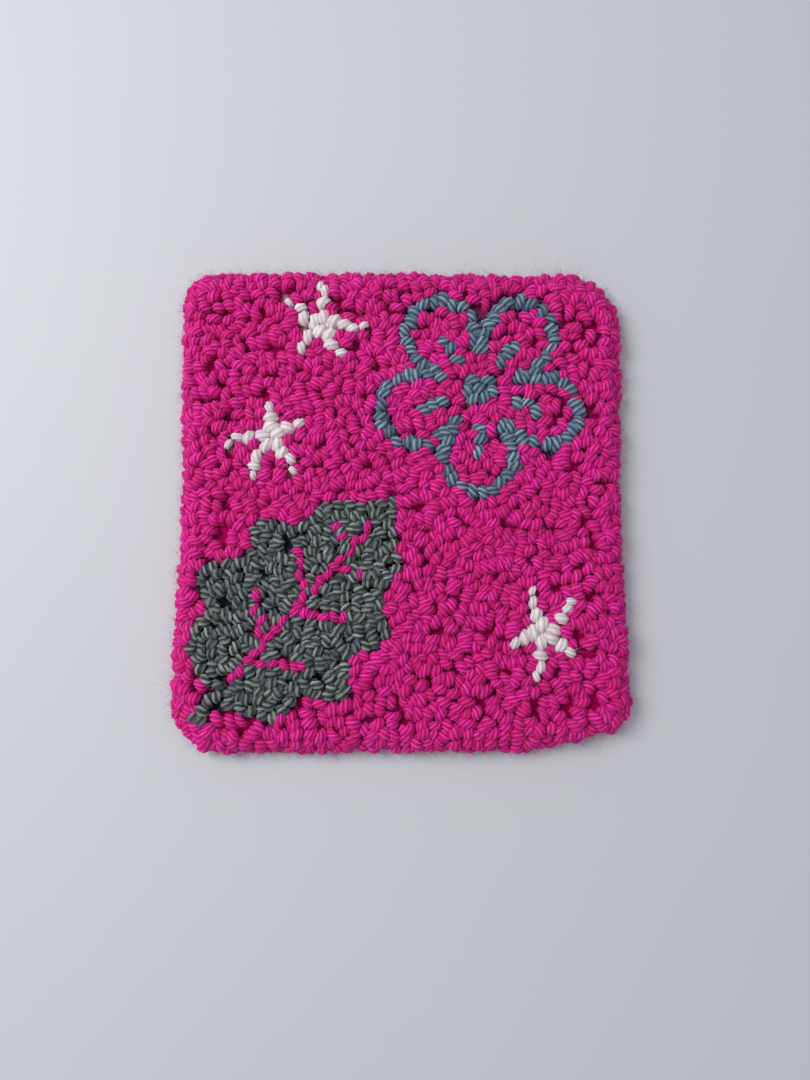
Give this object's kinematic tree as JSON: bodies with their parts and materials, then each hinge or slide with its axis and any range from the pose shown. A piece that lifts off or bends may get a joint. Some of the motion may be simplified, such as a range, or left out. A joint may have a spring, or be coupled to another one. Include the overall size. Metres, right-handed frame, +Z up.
{
  "type": "punch needle rug",
  "caption": "Small flat rug of looped wool pile, a rounded uneven rectangle with a lumpy face and rim, made to lie on a table.",
  "frame": {"origin": "middle of the outer box, on the table under the rug's flat back", "axes": "+X across the rug, +Y towards its far edge as it lies in use, +Z up out of the pile"},
  "size_m": [0.15, 0.162, 0.0105],
  "materials": {
    "pink_wool": "matt looped wool yarn, hot pink",
    "white_wool": "matt looped wool roving, white",
    "steel_blue_wool": "matt looped wool yarn, steel blue",
    "heather_green_wool": "matt looped wool yarn, flecked grey green",
    "foundation_cloth": "plain open-weave cotton, undyed"
  },
  "bodies": {
    "root": {"rug": "pink_wool"}
  },
  "joints": []
}
